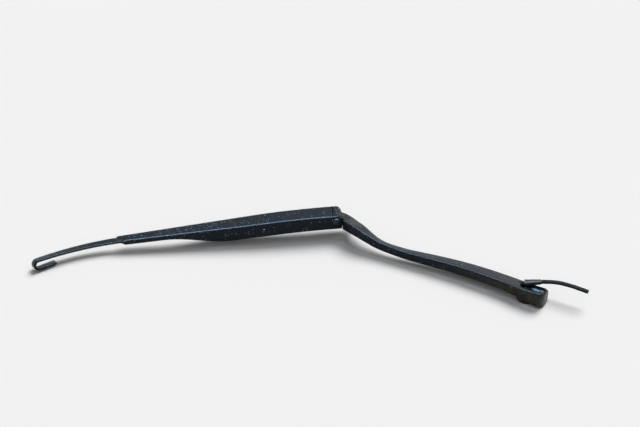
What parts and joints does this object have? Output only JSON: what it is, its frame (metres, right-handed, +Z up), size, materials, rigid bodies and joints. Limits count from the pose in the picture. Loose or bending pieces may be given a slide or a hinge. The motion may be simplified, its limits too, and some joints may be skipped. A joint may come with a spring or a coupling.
{
  "type": "wiper arm",
  "caption": "Spring-loaded wiper arm: cast head with spindle bore, hinged pressed channel with a tension spring, hooked blade rod and a washer hose leaving the head.",
  "frame": {"origin": "on the spindle axis at the face of the boss that stands on the spindle", "axes": "+Z up along the spindle axis, the blade end toward -X"},
  "size_m": [0.6215, 0.131, 0.0323],
  "materials": {
    "head_paint": "semi-gloss black paint on die-cast alloy",
    "bush_metal": "sintered bronze bush, oiled",
    "pin_steel": "plain ground steel pin",
    "guide_rubber": "matte moulded rubber",
    "hose_rubber": "matte black rubber hose",
    "clip_plastic": "moulded black plastic clip",
    "arm_paint": "semi-gloss black paint on pressed steel",
    "rivet_paint": "black painted rivet",
    "washer_plastic": "natural plastic washer",
    "anchor_paint": "black painted pin",
    "rod_paint": "semi-gloss black paint on flat steel rod",
    "nozzle_plastic": "moulded black plastic",
    "jet_brass": "drilled brass ball",
    "link_steel": "phosphated steel plate",
    "spring_steel": "oiled spring steel wire"
  },
  "bodies": {
    "head": {"arm_head": "head_paint", "pin_bushes": "bush_metal", "link_pin": "pin_steel", "hose_guide": "guide_rubber", "hose_tail": "hose_rubber", "head_hose": "hose_rubber", "head_clips": "clip_plastic", "hinge_hose": "hose_rubber"},
    "arm": {"arm_channel": "arm_paint", "hinge_pin": "rivet_paint", "hinge_washers": "washer_plastic", "spring_anchor": "anchor_paint", "blade_rod": "rod_paint", "arm_hose": "hose_rubber", "arm_clips": "clip_plastic", "spray_nozzle": "nozzle_plastic", "nozzle_jets": "jet_brass"},
    "link": {"spring_link": "link_steel"},
    "spring": {"tension_spring": "spring_steel"}
  },
  "joints": [
    {"name": "arm_hinge", "type": "hinge", "parent": "head", "child": "arm", "pos_m": [-0.22413, 0.08469, 0.025], "axis": [-0.2554, 0.9668, 0], "range_deg": [0, 65]},
    {"name": "link_hinge", "type": "hinge", "parent": "head", "child": "link", "pos_m": [-0.22848, 0.08354, 0.019], "axis": [-0.2554, 0.9668, 0], "range_deg": [0, 65]},
    {"name": "spring_stretch", "type": "slide", "parent": "link", "child": "spring", "axis": [-0.9668, -0.2554, -0.0025], "range_m": [0, 0.00809], "deforming": ["tension_spring"]}
  ],
  "couplings": [
    {"joint": "link_hinge", "follows": "arm_hinge", "ratio": 1},
    {"joint": "spring_stretch", "follows": "arm_hinge", "m_per_rad": 0.007084}
  ]
}
